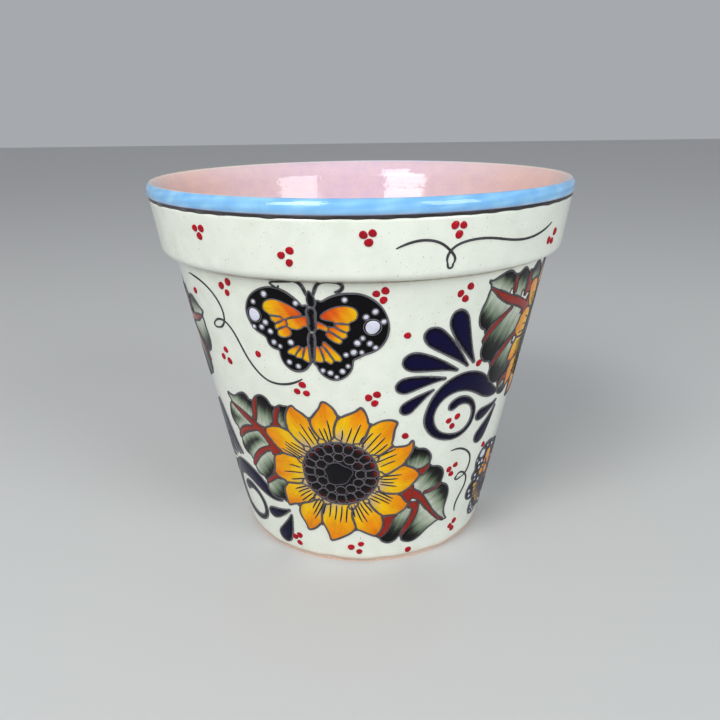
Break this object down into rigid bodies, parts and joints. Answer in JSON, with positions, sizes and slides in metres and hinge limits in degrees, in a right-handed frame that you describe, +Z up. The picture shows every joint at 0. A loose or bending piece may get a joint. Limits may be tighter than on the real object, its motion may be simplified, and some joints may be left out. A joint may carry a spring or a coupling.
{
  "type": "glazed earthenware flower pot",
  "caption": "Tapered earthenware flower pot with a rolled collar, a drain hole, and raised sunflower, leaf, scroll and butterfly decoration in coloured glazes.",
  "frame": {"origin": "centre of the foot ring, on the ground", "axes": "+Z up along the pot's axis of revolution; -Y is the front, the side with the low sunflower and the high butterfly; +X to the right when looking at the front"},
  "size_m": [0.2836, 0.2836, 0.2486],
  "materials": {
    "fired_clay": "unglazed, matt, slightly rough",
    "white_glaze": "glossy cream-white tin glaze",
    "blue_glaze": "glossy, streaked light blue",
    "pink_glaze": "glossy, cloudy pink",
    "line_glaze": "brushed charcoal line, satin",
    "seed_head_glaze": "satin grey-brown",
    "seed_glaze": "glossy black-maroon",
    "petal_glaze": "glossy yellow shading to orange, brushed",
    "vein_glaze": "glossy brick red",
    "leaf_glaze": "glossy, black shading to grey-green",
    "scroll_glaze": "glossy navy-black",
    "wing_glaze": "glossy black",
    "cell_glaze": "glossy orange shading to yellow",
    "spot_glaze": "glossy pale lilac-white",
    "flourish_glaze": "satin black slip",
    "dot_glaze": "glossy deep red"
  },
  "bodies": {
    "root": {"base_disc": "fired_clay", "collar_dots": "dot_glaze", "collar_flourishes": "flourish_glaze", "collar_glaze": "white_glaze", "high_butterfly_back_body": "wing_glaze", "high_butterfly_back_cells": "cell_glaze", "high_butterfly_back_spots": "spot_glaze", "high_butterfly_back_wings": "wing_glaze", "high_butterfly_front_body": "wing_glaze", "high_butterfly_front_cells": "cell_glaze", "high_butterfly_front_spots": "spot_glaze", "high_butterfly_front_wings": "wing_glaze", "high_leaf_back_blades": "leaf_glaze", "high_leaf_back_veins": "vein_glaze", "high_leaf_front_blades": "leaf_glaze", "high_leaf_front_veins": "vein_glaze", "high_scroll_back": "scroll_glaze", "high_scroll_front": "scroll_glaze", "high_sunflower_back_heart": "seed_glaze", "high_sunflower_back_petals": "petal_glaze", "high_sunflower_back_seed_head": "seed_head_glaze", "high_sunflower_back_seeds": "seed_glaze", "high_sunflower_front_heart": "seed_glaze", "high_sunflower_front_petals": "petal_glaze", "high_sunflower_front_seed_head": "seed_head_glaze", "high_sunflower_front_seeds": "seed_glaze", "interior_glaze": "pink_glaze", "lip_glaze": "blue_glaze", "lip_line": "line_glaze", "low_butterfly_back_body": "wing_glaze", "low_butterfly_back_cells": "cell_glaze", "low_butterfly_back_spots": "spot_glaze", "low_butterfly_back_wings": "wing_glaze", "low_butterfly_front_body": "wing_glaze", "low_butterfly_front_cells": "cell_glaze", "low_butterfly_front_spots": "spot_glaze", "low_butterfly_front_wings": "wing_glaze", "low_leaf_back_blades": "leaf_glaze", "low_leaf_back_veins": "vein_glaze", "low_leaf_front_blades": "leaf_glaze", "low_leaf_front_veins": "vein_glaze", "low_scroll_back": "scroll_glaze", "low_scroll_front": "scroll_glaze", "low_sunflower_back_heart": "seed_glaze", "low_sunflower_back_petals": "petal_glaze", "low_sunflower_back_seed_head": "seed_head_glaze", "low_sunflower_back_seeds": "seed_glaze", "low_sunflower_front_heart": "seed_glaze", "low_sunflower_front_petals": "petal_glaze", "low_sunflower_front_seed_head": "seed_head_glaze", "low_sunflower_front_seeds": "seed_glaze", "pot_wall": "fired_clay", "rim_collar": "fired_clay", "wall_dots": "dot_glaze", "wall_flourishes": "flourish_glaze", "wall_glaze": "white_glaze"}
  },
  "joints": []
}
